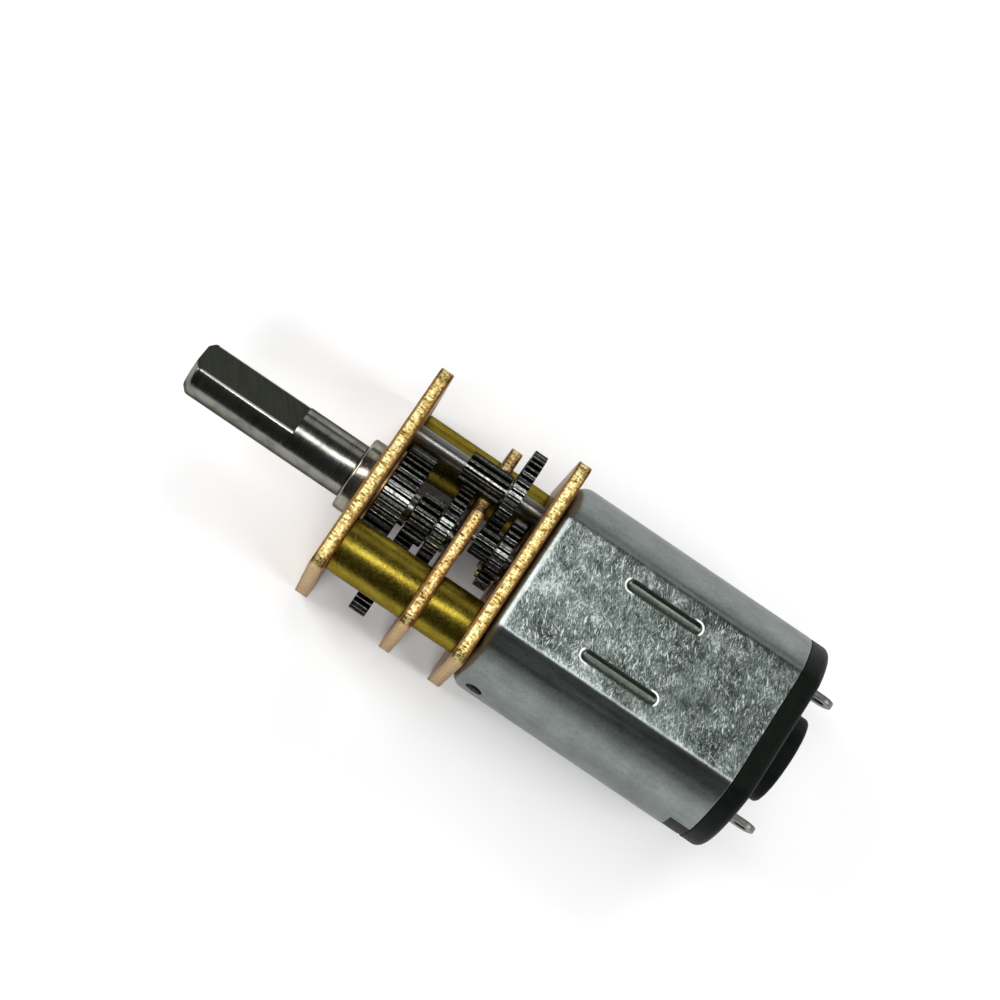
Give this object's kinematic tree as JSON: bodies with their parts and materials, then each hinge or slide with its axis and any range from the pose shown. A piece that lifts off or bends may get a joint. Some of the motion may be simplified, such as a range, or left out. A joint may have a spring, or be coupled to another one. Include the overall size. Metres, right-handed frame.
{
  "type": "gearmotor",
  "caption": "Miniature flat-sided brush motor driving an open-frame spur gearbox between brass plates, with a D-cut output shaft.",
  "frame": {"origin": "centre of the front plate's front face, on the output shaft's axis", "axes": "+X along the output shaft towards its tip, +Y across the wide side of the plates, +Z out of the motor can's upper flat"},
  "size_m": [0.0365, 0.012, 0.01],
  "materials": {
    "brass_plate": "stamped brass sheet, light golden edges",
    "brass_post": "turned brass, bright and slightly green",
    "gear_steel": "cut steel teeth, dark and oily",
    "pin_steel": "drawn steel wire",
    "shaft_steel": "ground steel, flat milled",
    "bush_steel": "turned sintered steel",
    "screw_steel": "zinc plated",
    "can_zinc": "spangled, scratched zinc plated deep-drawn steel",
    "cap_plastic": "matt black moulded plastic",
    "terminal_tin": "tinned sheet",
    "bearing_bronze": "oiled sintered bronze",
    "pinion_brass": "cut brass",
    "magnet_ferrite": "sintered ferrite, dull",
    "core_steel": "stacked laminations",
    "winding_copper": "enamelled copper wire",
    "commutator_copper": "turned copper segments",
    "brush_bronze": "spring bronze strip"
  },
  "bodies": {
    "housing": {"front_plate": "brass_plate", "mid_plate": "brass_plate", "rear_plate": "brass_plate", "output_bush": "bush_steel", "thrust_washer": "bearing_bronze", "front_spacers": "brass_post", "rear_spacers": "brass_post", "tie_screws": "screw_steel", "motor_screws": "screw_steel", "idler_pin_second_gear": "pin_steel", "idler_pin_fourth_gear": "pin_steel", "first_gear_pin": "pin_steel", "motor_can": "can_zinc", "end_cap": "cap_plastic", "terminals": "terminal_tin", "brushes": "brush_bronze", "magnets": "magnet_ferrite", "front_bearing": "bearing_bronze", "rear_bearing": "bearing_bronze"},
    "output": {"output_shaft": "shaft_steel", "output_gear": "gear_steel"},
    "fourth_cluster": {"fourth_reduction_gear": "gear_steel", "fourth_reduction_pinion": "gear_steel"},
    "third_cluster": {"third_reduction_gear": "gear_steel", "third_reduction_pinion": "gear_steel"},
    "second_cluster": {"second_reduction_gear": "gear_steel", "second_reduction_pinion": "gear_steel"},
    "first_cluster": {"first_reduction_gear": "gear_steel", "first_reduction_pinion": "gear_steel"},
    "rotor": {"motor_pinion": "pinion_brass", "motor_shaft": "pin_steel", "armature_core": "core_steel", "armature_windings": "winding_copper", "commutator": "commutator_copper"}
  },
  "joints": [
    {"name": "output_spin", "type": "hinge", "parent": "housing", "child": "output", "pos_m": [0, 0, 0], "axis": [1, 0, 0], "continuous": true},
    {"name": "fourth_spin", "type": "hinge", "parent": "housing", "child": "fourth_cluster", "pos_m": [-0.004, 0.00315, -0.0016], "axis": [1, 0, 0], "continuous": true},
    {"name": "third_spin", "type": "hinge", "parent": "housing", "child": "third_cluster", "pos_m": [-0.004, 0, 0], "axis": [1, 0, 0], "continuous": true},
    {"name": "second_spin", "type": "hinge", "parent": "housing", "child": "second_cluster", "pos_m": [-0.004, -0.00315, 0.0016], "axis": [1, 0, 0], "continuous": true},
    {"name": "first_spin", "type": "hinge", "parent": "housing", "child": "first_cluster", "pos_m": [-0.004, -0.00011, 0.00272], "axis": [1, 0, 0], "continuous": true},
    {"name": "rotor_spin", "type": "hinge", "parent": "housing", "child": "rotor", "pos_m": [-0.004, 0, 0], "axis": [1, 0, 0], "continuous": true}
  ],
  "couplings": [
    {"joint": "fourth_spin", "follows": "output_spin", "ratio": -3.8},
    {"joint": "third_spin", "follows": "output_spin", "ratio": 7.6},
    {"joint": "second_spin", "follows": "output_spin", "ratio": -28.88},
    {"joint": "first_spin", "follows": "output_spin", "ratio": 112.31},
    {"joint": "rotor_spin", "follows": "output_spin", "ratio": -265.46}
  ]
}
